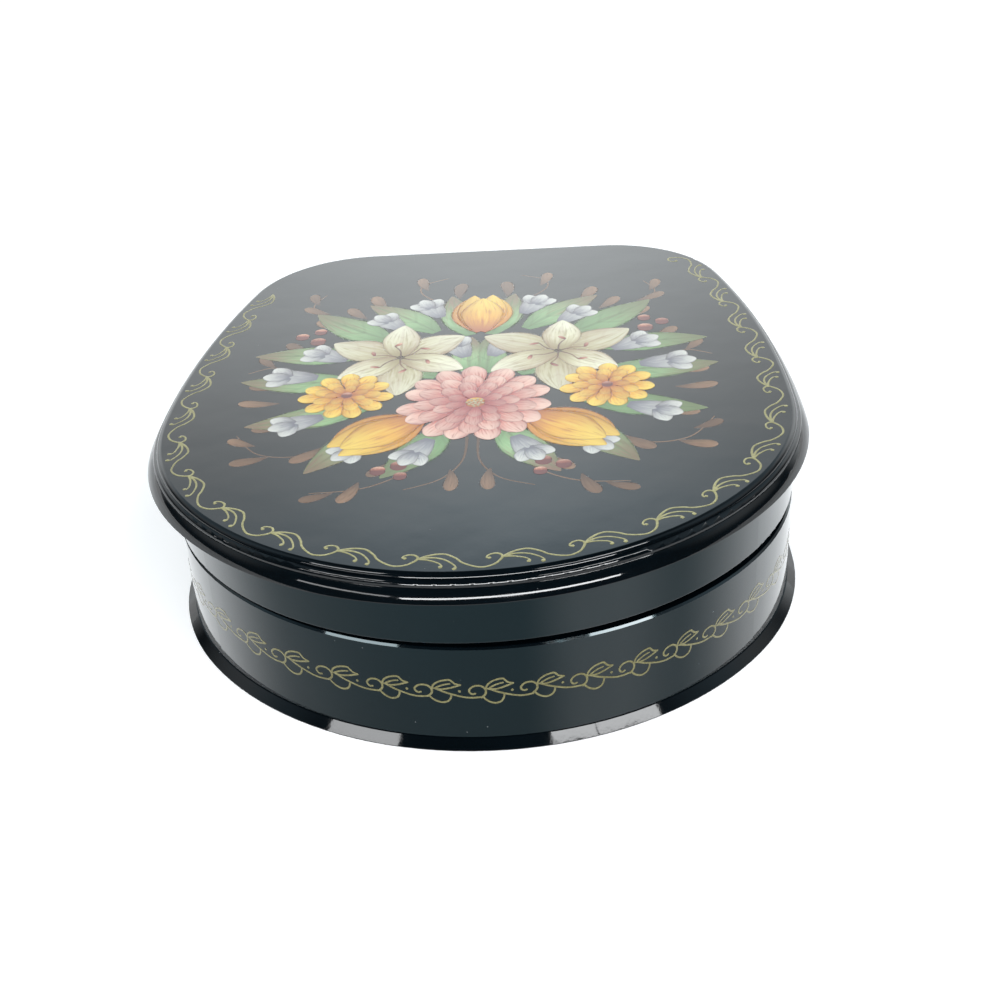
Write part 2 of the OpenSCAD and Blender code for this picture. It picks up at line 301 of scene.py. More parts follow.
# %% [markdown]
# ## Round walls
# A swept solid is a ring of flat strips, and gloss shows every strip as a kink in the mirrored room.
# More strips would help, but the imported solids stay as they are. The arcs of the plan are known, so the
# finish works out how the true arc faces at each place and uses that. A face that looks another way,
# such as the end of the hinge's slot, keeps its own.

# %% The facing of the true arcs
ON_ARC = 0.94


def round_facing(start, place, facing, shift):
    """The facing of a wall or moulding, turned to the arc of the plan that it lies on."""
    corner_x, corner_y, flank_x, shoulder_x, side_y, front_y = (
        MM * v for v in (CORNER_X, CORNER_Y, FLANK_X, SHOULDER_X, SIDE_Y, FRONT_Y)
    )
    px, py, pz = place.parts()
    nx, ny, nz = facing.parts()
    x = abs(px - shift)
    front = (3 * x + 4 * (py - front_y)) < 0
    low = py < side_y
    shoulder = low * (1 - front)
    flank = (1 - low) * ((24 * (py - side_y) - 7 * (x + flank_x)) < 0)
    corner = (1 - low) * (1 - flank)
    past_corner = start.maths("MAXIMUM", x - corner_x, 0.0)
    out_x = front * x + shoulder * (x - shoulder_x) + flank * (x + flank_x) + corner * past_corner
    out_y = py - front_y * front - side_y * (shoulder + flank) - corner_y * corner
    out_x = out_x * (2 * (px > shift) - 1)
    size = start.maths("SQRT", out_x * out_x + out_y * out_y)
    out_x, out_y = start.maths("DIVIDE", out_x, size), start.maths("DIVIDE", out_y, size)
    along = out_x * nx + out_y * ny
    true = (along * along) > ON_ARC * (1 - nz * nz)
    turned = start.node("CombineXYZ", {}, {0: along * out_x, 1: along * out_y, 2: nz})
    chosen = start.node("Mix", {"data_type": "VECTOR"}, {0: true, 4: facing, 5: turned}, 1)
    return start.node("VectorMath", {"operation": "NORMALIZE"}, {0: chosen})


print("arcs meet at 3 to 4 on the front and at 7 to 24 on the flanks")

# %% [markdown]
# ## Black lacquer
# Such a finish is many thin coats, rubbed down and polished by hand. It is nearly black, a little blue,
# and as smooth as glass, with faint waves from rubbing, a few hairlines and specks of dust that dried
# in. The gloss is the shader's own reflection, so that the waves bend it. In the picture the front of
# the walls mirrors less than their sides and the bevelled edge do. So the walls' gloss has a bluish tint
# as painted shade, a clear coat over their sides and the bevelled edge as painted sheen, and a thinner
# one over a patch to the right of the front as a painted reflection.

# %% Lacquer
GLOSS, SHEEN_GLOSS, WALL_SHADE_TINT = 1.45, 1.57, (0.28, 0.49, 0.55)
BLACK, RED, DUST = (0.0007, 0.0018, 0.0028), (0.30, 0.018, 0.010), (0.35, 0.37, 0.38)
SPECK_SIZE, SPECK_CHANCE, RUB_DEPTH = 0.055, 0.63, 0.00005


def lacquer(name, inside=None, seed=0.0, uneven=False, shift=0.0):
    """Black lacquer, red where inside(place, facing) is 1. An uneven wall has painted shade and sheen in its
    gloss.
    """
    material, start, shader = new_finish(name)
    place = start.node("TexCoord", {}, {}, "Object")
    facing = start.node("TexCoord", {}, {}, "Normal")
    shifted = start.node("VectorMath", {"operation": "ADD"}, {0: place, 1: (seed, seed, seed)})
    cloud = shifted.noise(60, 3)
    coat = cloud.fade(0.3, 0.75).mix(BLACK, tuple(1.5 * c for c in BLACK))
    if inside:
        depth = cloud.fade(0.25, 0.8).mix(RED, tuple(0.82 * c for c in RED))
        coat = inside(place, facing).mix(coat, depth)
    spread = {"Vector": shifted, "Scale": 560.0, "Randomness": 1.0}
    cells = start.node("TexVoronoi", {"feature": "F1"}, spread)
    specks = (cells < SPECK_SIZE) * (shifted.noise(230, 1) > SPECK_CHANCE)
    join((specks * 0.35).mix(coat, DUST), shader, "Base Color")
    hairlines = shifted.stretch(0.06, 1.0, 0.4).noise(900, 1).fade(0.66, 0.72)
    smears = shifted.noise(28, 4, 0.6).fade(0.45, 0.75)
    join(0.045 + 0.05 * smears + 0.05 * hairlines + 0.3 * specks, shader, "Roughness")
    waves, grain = shifted.noise(85, 2, 0.45), shifted.noise(1500, 2)
    rounded = round_facing(start, place, facing, shift)
    relief(start, waves + 0.05 * grain + 0.3 * specks, RUB_DEPTH, shader, rounded)
    shader.inputs["IOR"].default_value = GLOSS
    if uneven:
        # Painted shade: a bluish tint that darkens all that the wall's gloss mirrors.
        shader.inputs["Specular Tint"].default_value = (*WALL_SHADE_TINT, 1)
        nx, ny, nz = rounded.parts()
        # Painted sheen: a clear coat over the wall's sides and its upward faces such as the bevelled edge,
        # and a thinner one over a patch right of the front as a painted reflection.
        painted_side_sheen = (0 - nx).fade(0.52, 0.85) + nx.fade(0.56, 0.86)
        patch = nx.fade(0.12, 0.30) * (1 - nx.fade(0.38, 0.58))
        join(0.45 * (nz > 0.3) + 0.93 * painted_side_sheen + 0.45 * patch, shader, "Coat Weight")
        shader.inputs["Coat IOR"].default_value = SHEEN_GLOSS
        shader.inputs["Coat Roughness"].default_value = 0.05
    return material


print("lacquer mixed, with a gloss of", GLOSS)

# %% [markdown]
# ## Red inside
# Such boxes are often red inside. The picture shows this one closed, so the red is a guess. One solid
# has both colours, so a mask chooses: which way a wall faces, or how high a board's face lies. Cutting
# the solids in two would do it as well, but then the edge of the paint would be a joint.

# %% Where the coat is red
WALL_INWARD, BASE_FACE, LID_UNDERSIDE, LID_SLOPE = -0.012, 0.0020, 0.0300, 0.01222


def wall_inside(place, facing):
    px, py, pz = place.parts()
    nx, ny, nz = facing.parts()
    return (px * nx + py * ny) < WALL_INWARD


def base_inside(place, facing):
    return place.parts()[2] > BASE_FACE


def lid_inside(place, facing):
    px, py, pz = place.parts()
    return (pz - LID_SLOPE * px) < LID_UNDERSIDE


for node, inside, seed in (
    ("base_board", base_inside, 0.0),
    ("body_wall", None, 0.31),
    ("inner_collar", wall_inside, 0.57),
    ("lid_rim", wall_inside, 0.83),
    ("lid_board", lid_inside, 1.19),
):
    solids[node].data.materials.clear()
    walls = node in ("body_wall", "lid_rim")
    shift = 0.0 if node == "lid_board" else MM * WALL_SHIFT
    solids[node].data.materials.append(lacquer("lacquer_" + node, inside, seed, walls, shift))
    print("lacquered", node, "over", len(solids[node].data.polygons), "faces")

# %% [markdown]
# ## Brass
# The hinge is at the back, out of sight in the picture, so it is of the usual kind: small, polished
# once, a little dull since then and finely scratched along its length. Metal takes its colour from what
# it mirrors: only its roughness and tint need to vary.

# %% Brass
BRIGHT_BRASS, DULL_BRASS = (0.74, 0.54, 0.24), (0.46, 0.31, 0.12)

material, start, shader = new_finish("brass")
place = start.node("TexCoord", {}, {}, "Object")
tarnish = place.noise(420, 3).fade(0.35, 0.75)
join(tarnish.mix(BRIGHT_BRASS, DULL_BRASS), shader, "Base Color")
draw_lines = place.stretch(0.05, 1, 1).noise(2600, 2)
join(0.2 + 0.14 * tarnish + 0.12 * draw_lines, shader, "Roughness")
relief(start, draw_lines + 0.4 * tarnish, 0.00001, shader)
shader.inputs["Metallic"].default_value = 1.0
hinge = ("body_hinge_leaf", "lid_hinge_leaf", "hinge_pin", "body_hinge_nails", "lid_hinge_nails")
for node in hinge:
    solids[node].data.materials.clear()
    solids[node].data.materials.append(material)
print("brass on", ", ".join(hinge))

# %% [markdown]
# ## Where paint can lie
# Paint follows a surface, so a stroke is drawn on paper first, in two flat measures, and then laid on
# the box. On the lid's border the measures are the distance run round the plan and the distance
# inward. On the wall they are the run and the height. The lid sits a little askew, so its face is tilted.

# %% The three painted surfaces
LID_PIVOT, LID_TILT, BORDER_OUT = 20.846, math.radians(0.7), -3.05
LID_RISE = max(
    (v.co.z / MM - LID_PIVOT) * math.cos(LID_TILT) - v.co.x / MM * math.sin(LID_TILT)
    for v in solids["lid_board"].data.vertices
)


def on_plan(run, out):
    """The point, and its outward direction, at a run along the line that lies out from the wall."""
    for cx, cy, radius, begin, end in STRETCHES:
        length = math.radians(end - begin) * (radius + out)
        if run <= length:
            break
        run -= length
    else:
        run += length
    angle = math.radians(begin) + run / (radius + out)
    way = (math.cos(angle), math.sin(angle))
    return (cx + (radius + out) * way[0], cy + (radius + out) * way[1]), way


def on_lid(x, y, lift):
    rise = LID_RISE + lift
    return (
        MM * (x * math.cos(LID_TILT) - rise * math.sin(LID_TILT)),
        MM * y,
        MM * (LID_PIVOT + x * math.sin(LID_TILT) + rise * math.cos(LID_TILT)),
    )


def on_border(run, inward, lift):
    (x, y), (wx, wy) = on_plan(run, BORDER_OUT)
    return on_lid(x - inward * wx, y - inward * wy, lift)


def on_wall(run, height, lift):
    (x, y), (wx, wy) = on_plan(run, 0.0)
    return (MM * (x + WALL_SHIFT + lift * wx), MM * (y + lift * wy), MM * height)


print("lid face %.3f mm above the parting" % LID_RISE)
print("front of the border at", [round(v / MM, 2) for v in on_border(165, 0, 0)])

# %% [markdown]
# ## Brush work
# Every mark of a brush is a thin raised patch of paint. Here it is a grid of small faces, row by row,
# that is bent onto the surface. A painted texture would be simpler, but a mesh stays sharp from near by
# and has an edge that catches light. Each point also keeps where it lies in its own stroke (across,
# along and a tone of its own), so that one finish can shade every petal from its foot to its tip.


# %% A smooth path and a steady tone
def smooth(points, steps=8):
    """A curve through the points."""
    line = []
    for i in range(len(points) - 1):
        a, b, c, d = (points[min(max(i + k, 0), len(points) - 1)] for k in (-1, 0, 1, 2))
        for s in range(steps):
            t = s / steps
            line.append(tuple(
                0.5 * (
                    2 * q + (r - p) * t + (2 * p - 5 * q + 4 * r - w) * t * t
                    + (3 * q - p - 3 * r + w) * t ** 3
                )
                for p, q, r, w in zip(a, b, c, d)
            ))
    return line + [points[-1]]


def tone(seed):
    """A steady number from 0 to 1 that differs from stroke to stroke."""
    return math.sin(seed * 12.9898 + 4.1) * 43758.5453 % 1.0


print("a path through 3 points has", len(smooth([(0, 0), (1, 1), (2, 0)])), "points")


# %% The brush
class Brush:
    def __init__(self, surface):
        self.surface, self.side, self.count = surface, 1, 0
        self.points, self.marks, self.faces = [], [], []

    def patch(self, rows, closed=False):
        """Faces between rows of points. A row of one point is a tip, and closed rows are rings."""
        starts = []
        for row in rows:
            starts.append(len(self.points))
            for a, b, lift, mark in row:
                self.points.append(self.surface(a * self.side, b, lift))
                self.marks.append(mark)
        for i in range(len(rows) - 1):
            wide = max(len(rows[i]), len(rows[i + 1]))
            for j in range(wide if closed else wide - 1):
                around = ((i, j), (i, j + 1), (i + 1, j + 1), (i + 1, j))
                corners = list(dict.fromkeys((m, n % len(rows[m])) for m, n in around))
                flat = [rows[m][n][:2] for m, n in corners]
                area = sum(a * d - b * c for (a, b), (c, d) in zip(flat, flat[1:] + flat[:1])) * self.side
                face = [starts[m] + n for m, n in corners]
                self.faces.append(face if area > 0 else face[::-1])
        self.count += 1

    def piece(self, name, finish, body, slot):
        mesh = bpy.data.meshes.new(name)
        mesh.from_pydata(self.points, [], self.faces)
        mesh.polygons.foreach_set("use_smooth", [True] * len(self.faces))
        where = mesh.attributes.new("in_stroke", "FLOAT_VECTOR", "POINT")
        where.data.foreach_set("vector", [v for mark in self.marks for v in mark])
        mesh.materials.append(finish)
        made = bpy.data.objects.new(name, mesh)
        bpy.context.scene.collection.objects.link(made)
        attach(made, body)
        print("%s: %d strokes, %d faces" % (name, self.count, len(self.faces)))


print("a brush can lie on:", ", ".join(surface.__name__ for surface in (on_border, on_wall, on_lid)))

# %% [markdown]
# ## The liner
# A liner has long thin hairs. It draws a line that swells where it is pressed and thins where it is
# lifted, with round ends, and it sets dots. A curve with a bevel would give a round cord, so the line is
# a strip five points wide with a low crown, like paint that has flowed flat.


# %% Lines and dots
class Liner(Brush):
    def line(self, points, widths, lift=0.004, crown=0.02, steps=8):
        """A line through the points, whose width runs through the widths from its start to its end."""
        path, own = smooth(points, steps), tone(self.count)
        full = len(path) - 1
        rows = []
        for i, (a, b) in enumerate(path):
            (a0, b0), (a1, b1) = path[max(i - 1, 0)], path[min(i + 1, full)]
            size = math.hypot(a1 - a0, b1 - b0) or 1.0
            ta, tb = (a1 - a0) / size, (b1 - b0) / size
            at = i / full * (len(widths) - 1)
            k = min(int(at), len(widths) - 2)
            wide = widths[k] + (widths[k + 1] - widths[k]) * (at - k)
            rows.append((a, b, ta, tb, wide, i / full))

        def round_end(row, way):
            a, b, ta, tb, wide, along = row
            half = way * wide / 2
            return [
                (a + half * ta * c, b + half * tb * c, ta, tb, wide * math.sqrt(1 - c * c), along)
                for c in (0.97, 0.75, 0.4)
            ]

        self.patch([
            [
                (a - k * tb * wide / 2, b + k * ta * wide / 2, lift + crown * (1 - k * k), (k, along, own))
                for k in (-1, -0.5, 0, 0.5, 1)
            ]
            for a, b, ta, tb, wide, along in round_end(rows[0], -1) + rows + round_end(rows[-1], 1)[::-1]
        ])

    def dot(self, a, b, radius, lift=0.004, crown=0.03, rings=4, sides=18):
        own = tone(self.count + 0.5)
        turns = [2 * math.pi * s / sides for s in range(sides)]
        rows = [[(a, b, lift + crown, (0.0, 0.0, own))]]
        for r in (k / rings for k in range(1, rings + 1)):
            high = lift + crown * math.sqrt(1 - r * r)
            ring = [(r * math.cos(turn), r * math.sin(turn)) for turn in turns]
            rows.append([(a + radius * x, b + radius * y, high, (x, y, own)) for x, y in ring])
        self.patch(rows, closed=True)


print("the liner draws lines and dots")

# %% [markdown]
# ## The flat brush
# A flat brush is pressed down for a petal and lifted at its tip. The petal is a strip whose width grows
# from its foot and closes at a round or a sharp tip, and it can bend on the way. Its rows lie closer
# together towards the tip, where the outline turns fastest.


# %% Petals
class FlatBrush(Liner):
    def petal(
        self, a, b, heading, length, width, lift,
        foot=0.3, widest=0.62, point=0.0, bend=0.0, deep=None, steps=14,
    ):
        """A petal from its foot along a heading in degrees. Point 0 gives a round tip, 1 a sharp one."""
        own = tone(self.count) if deep is None else deep
        rows, x, y, last = [], a, b, 0.0
        for i in range(steps + 1):
            v = math.sin(math.pi / 2 * i / steps)
            way = math.radians(heading) + math.radians(bend) * v
            x, y = x + math.cos(way) * length * (v - last), y + math.sin(way) * length * (v - last)
            last = v
            if v < widest:
                half = foot + (1 - foot) * math.sin(math.pi / 2 * v / widest)
            else:
                t = (v - widest) / (1 - widest)
                rounded, sharp = math.sqrt(max(0.0, 1 - t * t)), (1 - t) ** 1.15 * (1 + 0.9 * t)
                half = (1 - point) * rounded + point * sharp
            rows.append([
                (
                    x - k * math.sin(way) * half * width / 2,
                    y + k * math.cos(way) * half * width / 2,
                    lift + 0.0006 * (1 - k * k),
                    (k, v, own),
                )
                for k in (-1, -0.7, -0.35, 0, 0.35, 0.7, 1)
            ])
        self.patch(rows[:-1] + [[(x, y, lift, (0.0, 1.0, own))]])


print("the flat brush paints petals too")

# %% [markdown]
# ## Gold line
# Such borders are bronze powder in varnish, laid with a fine liner and sealed under the last coats. It
# is only partly metallic: a pale straw colour, thin where the brush ran dry. The lid's border is fainter
# away from the front, more so on the left and at the back. The wall's vine is drawn with thinner lines
# in a darker gold, and the painted sheen of the wall's sides, a clear coat, lies over it too. One recipe
# with a strength makes both, so that they stay the same gold.

# %% Gold
THIN_GOLD, FULL_GOLD, BARE_GOLD = (0.28, 0.255, 0.10), (0.43, 0.40, 0.185), (0.15, 0.13, 0.045)


def gold_line(name, strength, fading=0.0, sheen_on_sides=False):
    finish, start, shader = new_finish(name)
    across, along, own = start.node("Attribute", {"attribute_name": "in_stroke"}, {}, "Vector").parts()
    place = start.node("TexCoord", {}, {}, "Object")
    px, py, pz = place.parts()
    powder, dry = place.noise(2600, 2), place.noise(300, 2).fade(0.4, 0.75)
    thin, full, bare = (tuple(strength * c for c in colour) for colour in (THIN_GOLD, FULL_GOLD, BARE_GOLD))
    edge = abs(across).fade(0.35, 1.0)
    # Fainter, towards bare gold, away from the front, more on the left and at the back.
    uneven = fading * (py.fade(-0.052, -0.025) * (1.5 - 0.6 * (px > 0)) + 0.6 * py.fade(-0.01, 0.045))
    gold = powder.fade(0.3, 0.7).mix(thin, full)
    join((0.3 * dry + 0.35 * edge + uneven).mix(gold, bare), shader, "Base Color")
    join(0.3 + 0.2 * powder, shader, "Roughness")
    relief(start, powder, 0.00001, shader)
    shader.inputs["Metallic"].default_value = 0.2
    shader.inputs["Specular IOR Level"].default_value = 0.2
    if sheen_on_sides:
        # Painted sheen: a clear coat that is stronger on the wall's sides, as on the lacquer there.
        facing = start.node("TexCoord", {}, {}, "Normal")
        join(0.3 + 0.7 * abs(facing.parts()[0]).fade(0.5, 0.84), shader, "Coat Weight")
    else:
        shader.inputs["Coat Weight"].default_value = 0.3
    shader.inputs["Coat Roughness"].default_value = 0.05
    shader.inputs["Coat IOR"].default_value = SHEEN_GLOSS if sheen_on_sides else GLOSS
    return finish


lid_gold, wall_gold = gold_line("lid_gold", 0.97, 0.2), gold_line("wall_gold", 0.51, sheen_on_sides=True)
print("gold mixed:", lid_gold.name, wall_gold.name)

# %% [markdown]
# ## The scroll round the lid
# One motif repeats along the edge: a wave that swells inward and out again, a small curl where it meets
# the next, and two fronds that end in a drop. The painter spaced them by eye, so the places are written
# as a list of runs and not as a step. The drawing of one motif is in shares of that spacing.

# %% Scroll border
SCROLL_AT = [
    27.6, 40.6, 53.6, 66.6, 79.6, 92.6, 105.4, 118.9, 131.6, 144.6, 158.0, 171.3, 184.5, 197.4, 210.2,
    222.9, 236.0, 249.7, 261.7, 275.3, 288.1, 301.2, 314.2,
]
WAVE = [
    (0, 0), (0.10, 0.9), (0.22, 1.45), (0.33, 1.4), (0.45, 0.35), (0.53, -0.85), (0.65, -1.85), (0.76, -2.3),
    (0.88, -1.85), (0.96, -0.85), (1, 0),
]
CURL = [
    (1, 0), (0.99, 0.55), (0.955, 0.98), (0.915, 1.1), (0.865, 0.98), (0.825, 0.6), (0.815, 0.15),
    (0.845, 0.0),
]
LONG_FROND = [
    (0, 0), (0.10, 0.42), (0.21, 0.46), (0.31, 0.05), (0.39, -0.75), (0.445, -1.6), (0.46, -2.2),
    (0.445, -2.42),
]
SHORT_FROND = [
    (0, 0), (0.09, -0.08), (0.17, -0.38), (0.25, -0.9), (0.29, -1.45), (0.30, -1.8), (0.285, -1.95),
]

scroll = Liner(on_border)
for k, (begin, end) in enumerate(zip(SCROLL_AT, SCROLL_AT[1:])):
    step = end - begin
    size, sway = 1 + 0.1 * (tone(k + 0.3) - 0.5), 0.25 * (tone(k) - 0.5)

    def drawn(shape):
        return [(begin + s * step, t * size + sway * math.sin(math.pi * s)) for s, t in shape]

    scroll.line(drawn(WAVE), [0.54, 0.40, 0.38, 0.36, 0.38, 0.47])
    scroll.line(drawn(CURL), [0.47, 0.35, 0.37])
    scroll.line(drawn(LONG_FROND), [0.50, 0.36, 0.31, 0.34])
    scroll.line(drawn(SHORT_FROND), [0.45, 0.33, 0.30, 0.32])
    for shape, drop in ((CURL, 0.30), (LONG_FROND, 0.35), (SHORT_FROND, 0.34)):
        scroll.dot(*drawn(shape)[-1], drop)
scroll.piece("lid_scroll", lid_gold, "lid", "gold_paint")

# %% [markdown]
# ## The vine round the wall
# A lighter vine runs round the body. Its stem sags from leaf to leaf and rolls up into a curl, a leaf
# with one vein stands above it, a round petal hangs below, and a dot follows the leaf's tip. It is drawn
# in millimetres from the middle of the curl and stretched a little to fit each spacing.

# %% Vine
VINE_AT = [
    40.4, 49.2, 58.0, 66.6, 75.2, 83.8, 92.4, 100.8, 109.6, 118.6, 128.9, 138.3, 148.0, 157.4, 165.7, 174.6,
    183.0, 191.3, 199.7, 208.1, 216.7, 226.0, 235.6, 245.2, 254.6, 263.8, 272.9, 282.0, 291.0, 300.0, 309.0,
]
VINE_HEIGHT, DRAWN_STEP, LAST_STEP = 11.35, 8.46, 9.0
STEM = [(1.48, 0.57), (2.2, 0.4), (3.28, -0.14), (4.55, -0.62), (6.24, -1.14), (7.6, -1.32)]
ROLL_UP = [
    (0.74, -1.22), (1.38, -0.5), (1.37, 0.45), (0.6, 1.12), (-0.5, 1.05), (-1.22, 0.4), (-1.18, -0.2),
    (-0.76, -0.52), (-0.34, -0.42),
]
HANGING = [(0.95, -0.95), (1.27, -1.5), (2.0, -2.1), (2.96, -2.4), (3.87, -2.1), (4.33, -1.4), (4.46, -0.62)]
LEAF = [(1.44, 0.49), (1.84, 1.38), (2.85, 2.1), (4.23, 2.4), (4.72, 2.02), (5.14, 1.6), (5.94, 1.35)]
UNDER = [
    (5.94, 1.35), (5.07, 0.98), (3.9, 0.57), (2.85, 0.37), (2.07, 0.55), (2.54, 0.95), (3.38, 1.36),
    (4.3, 1.58),
]
DOT = (5.75, 0.0)

vine = Liner(on_wall)
for k, (begin, end) in enumerate(zip(VINE_AT, VINE_AT[1:] + [VINE_AT[-1] + LAST_STEP])):
    stretch = (end - begin) / DRAWN_STEP
    size = 1 + 0.12 * (tone(k + 0.7) - 0.5)
    sway = VINE_HEIGHT + 0.3 * (tone(k) - 0.5)

    def drawn(shape, big=size):
        return [(begin + a * stretch, sway + b * big) for a, b in shape]

    (curl_a, curl_b), last = ROLL_UP[0], k == len(VINE_AT) - 1
    next_curl = [] if last else [(end + curl_a * stretch, VINE_HEIGHT + curl_b)]
    vine.line(drawn(STEM, 1.0) + next_curl, [0.32, 0.37, 0.35, 0.37])
    vine.line(drawn(ROLL_UP), [0.39, 0.37, 0.35, 0.38])
    vine.line(drawn(HANGING), [0.33, 0.38, 0.33])
    vine.line(drawn(LEAF), [0.33, 0.37, 0.33])
    vine.line(drawn(UNDER), [0.36, 0.35, 0.36, 0.29])
    vine.dot(*drawn([DOT])[0], 0.24)
vine.piece("wall_vine", wall_gold, "box", "gold_paint")

# %% [markdown]
# ## Flower paint
# A folk painter loads a flat brush with two colours, so each petal blends from a deep foot to a pale
# tip, with hair lines from the bristles and a thin dark edge where it lies over its neighbour. One
# finish does that for every flower. It reads the place in the stroke that the brush has kept. The clear
# lacquer lies over it all, so it mirrors the room as the lid does.


# %% A finish for petals
def painted(name, foot, body, tip, rim, veins=0.0):
    finish, start, shader = new_finish(name)
    across, along, own = start.node("Attribute", {"attribute_name": "in_stroke"}, {}, "Vector").parts()
    place = start.node("TexCoord", {}, {}, "Object")
    hairs = start.node("CombineXYZ", {}, {0: 2.4 * across + 37 * own, 1: 0.8 * along, 2: 19 * own})
    bristles, side = hairs.noise(3.6, 3), abs(across)
    colour = along.fade(-0.05, 0.5).mix(foot, body)
    colour = along.fade(0.3, 0.95).mix(colour, tip)
    colour = (0.65 * bristles.fade(0.5, 0.7) * along.fade(0.05, 0.5)).mix(colour, tip)
    colour = (0.6 * (1 - bristles.fade(0.28, 0.5))).mix(colour, foot)
    colour = (0.75 * own).mix(colour, foot)
    colour = (0.34 * across.fade(-0.2, 1.1)).mix(colour, rim)
    if veins:
        beat = 24 * along - 6 * side
        ribs = beat.maths("SINE", beat).fade(0.7, 1.0) * (1 - side.fade(0.6, 1.0)) * 0.35
        middle = (1 - side.fade(0.03, 0.16)) * (1 - along.fade(0.7, 1.0)) * 0.7
        colour = (veins * (ribs + middle)).mix(colour, rim)
    colour = (0.4 * side.fade(0.6, 1.0)).mix(colour, rim)
    join(colour, shader, "Base Color")
    join(1 - (side + 0.25 * bristles - 0.12).fade(0.82, 1.0), shader, "Alpha")
    join(0.06 + 0.06 * place.noise(28, 4, 0.6).fade(0.45, 0.75), shader, "Roughness")
    relief(start, 0.5 * bristles + place.noise(85, 2), 0.00002, shader)
    shader.inputs["IOR"].default_value = GLOSS
    return finish


FOOT_BODY_TIP_RIM = {
    "grass": ((0.07, 0.03, 0.012), (0.18, 0.09, 0.04), (0.26, 0.14, 0.07), (0.05, 0.02, 0.01)),
    "leaf": ((0.09, 0.19, 0.06), (0.31, 0.52, 0.23), (0.22, 0.09, 0.06), (0.08, 0.12, 0.04)),
    "berry": ((0.13, 0.02, 0.015), (0.38, 0.10, 0.05), (0.66, 0.38, 0.26), (0.08, 0.015, 0.01)),
    "mist": ((0.13, 0.13, 0.16), (0.36, 0.36, 0.36), (0.60, 0.60, 0.55), (0.14, 0.12, 0.13)),
    "amber": ((0.36, 0.08, 0.008), (0.72, 0.35, 0.015), (0.80, 0.58, 0.08), (0.26, 0.06, 0.008)),
    "cream": ((0.26, 0.20, 0.08), (0.58, 0.54, 0.34), (0.74, 0.73, 0.55), (0.28, 0.15, 0.10)),
    "rose": ((0.28, 0.035, 0.04), (0.57, 0.18, 0.14), (0.74, 0.50, 0.40), (0.22, 0.03, 0.04)),
}
VEINS = {"leaf": 0.6, "cream": 0.3}
FLOWER_PAINT = {
    kind: painted(kind + "_paint", *colours, VEINS.get(kind, 0.0))
    for kind, colours in FOOT_BODY_TIP_RIM.items()
}
print("flower paints:", ", ".join(FLOWER_PAINT))

# %% [markdown]
# ## The spray on the lid
# The spray is laid out like a fan that is the same on both sides: a dahlia low in the middle, two
# lilies over it, tulips and pompons at the flanks, bellflowers and berries between them, and leaves and
# grasses behind. One half is written down and the brush paints its mirror image. What lies behind is
# painted first, so each kind has a lift of its own, in coats of less than two thousandths of a
# millimetre.

# %% Leaves, grasses and berries
COAT = 0.0015
brushes = {kind: FlatBrush(on_lid) for kind in FLOWER_PAINT}
LEAVES = [
    (2, 20, 70, 20, 8.5, 12), (9, 22, 52, 21, 8.5, -14), (18, 19, 34, 22, 9.5, 12),
    (24, 12, 14, 21, 8.5, -14), (24, 2, -4, 22, 9.0, 14), (14, -15, -42, 23, 9.5, -14),
    (5, -18, -66, 20, 9.0, 14),
    (20, -9, -20, 23, 9.0, 10), (1.5, 3, 84, 16, 8.0, 10), (8, 2, 40, 15, 7.0, 8),
]
GRASSES = [
    [(22, -20), (30, -26), (38, -25), (43, -18)],
    [(8, -26), (11, -33), (18, -38), (27, -39)],
    [(1, -22), (1.5, -30), (5, -36), (11, -39)],
    [(7, 34), (13, 41), (13, 46), (8, 49)],
    [(24, 27), (31, 31), (36, 37), (34, 43)],
    [(34, 5), (40, 9), (45, 7)],
]
COMMAS = [
    (36, -26, -30, 7, 3.0), (39, -22, 14, 6, 2.6), (19, -36, -80, 7, 3.0), (23, -39, -35, 6, 2.6),
    (3.5, -33, -105, 7, 2.8), (12, 43, 62, 7, 2.8), (32, 33, 20, 7, 2.8), (35, 38, 60, 6, 2.6),
    (40, 9, 42, 6, 2.6), (33, -14, -28, 8, 3.2), (5, 38, 80, 8, 3.2), (20, 34, 52, 8, 3.2),
    (28, 25, 25, 8, 3.2), (26, -23, -55, 8, 3.2), (36, 1, -12, 8, 3.0), (34, 15, 30, 7, 3.0),
    (37, -6, -8, 8, 3.0), (13, -29, -60, 7, 3.0), (24, 30, 40, 7, 3.0),
]
BERRIES = [
    (33, 20, 1.7), (36.5, 22.5, 1.5), (33, 24.5, 1.4), (12.5, -31, 1.6), (16, -32.5, 1.5), (12, -34.5, 1.3),
]


def use_half(side):
    """Turn every brush to the right half of the lid (1) or to its mirror image (-1)."""
    for brush in brushes.values():
        brush.side = side


for side in (1, -1):
    use_half(side)
    for points in GRASSES:
        brushes["grass"].line(points, [0.7, 0.42, 0.34, 0.2], COAT, 0.0008)
    for x, y, heading, length, width in COMMAS:
        brushes["grass"].petal(x, y, heading, length, width, 2 * COAT, foot=0.12, widest=0.72, bend=26)
    for k, (x, y, heading, length, width, bend) in enumerate(LEAVES):
        shape = {"foot": 0.3, "widest": 0.42, "point": 0.75, "bend": bend}
        brushes["leaf"].petal(x, y, heading, length, width, (3 + k) * COAT, **shape)
    for k, (x, y, size) in enumerate(BERRIES):
        brushes["berry"].dot(x, y, size, (12 + k % 3) * COAT, 0.0008)
print("behind the flowers:", {kind: brush.count for kind, brush in brushes.items() if brush.count})


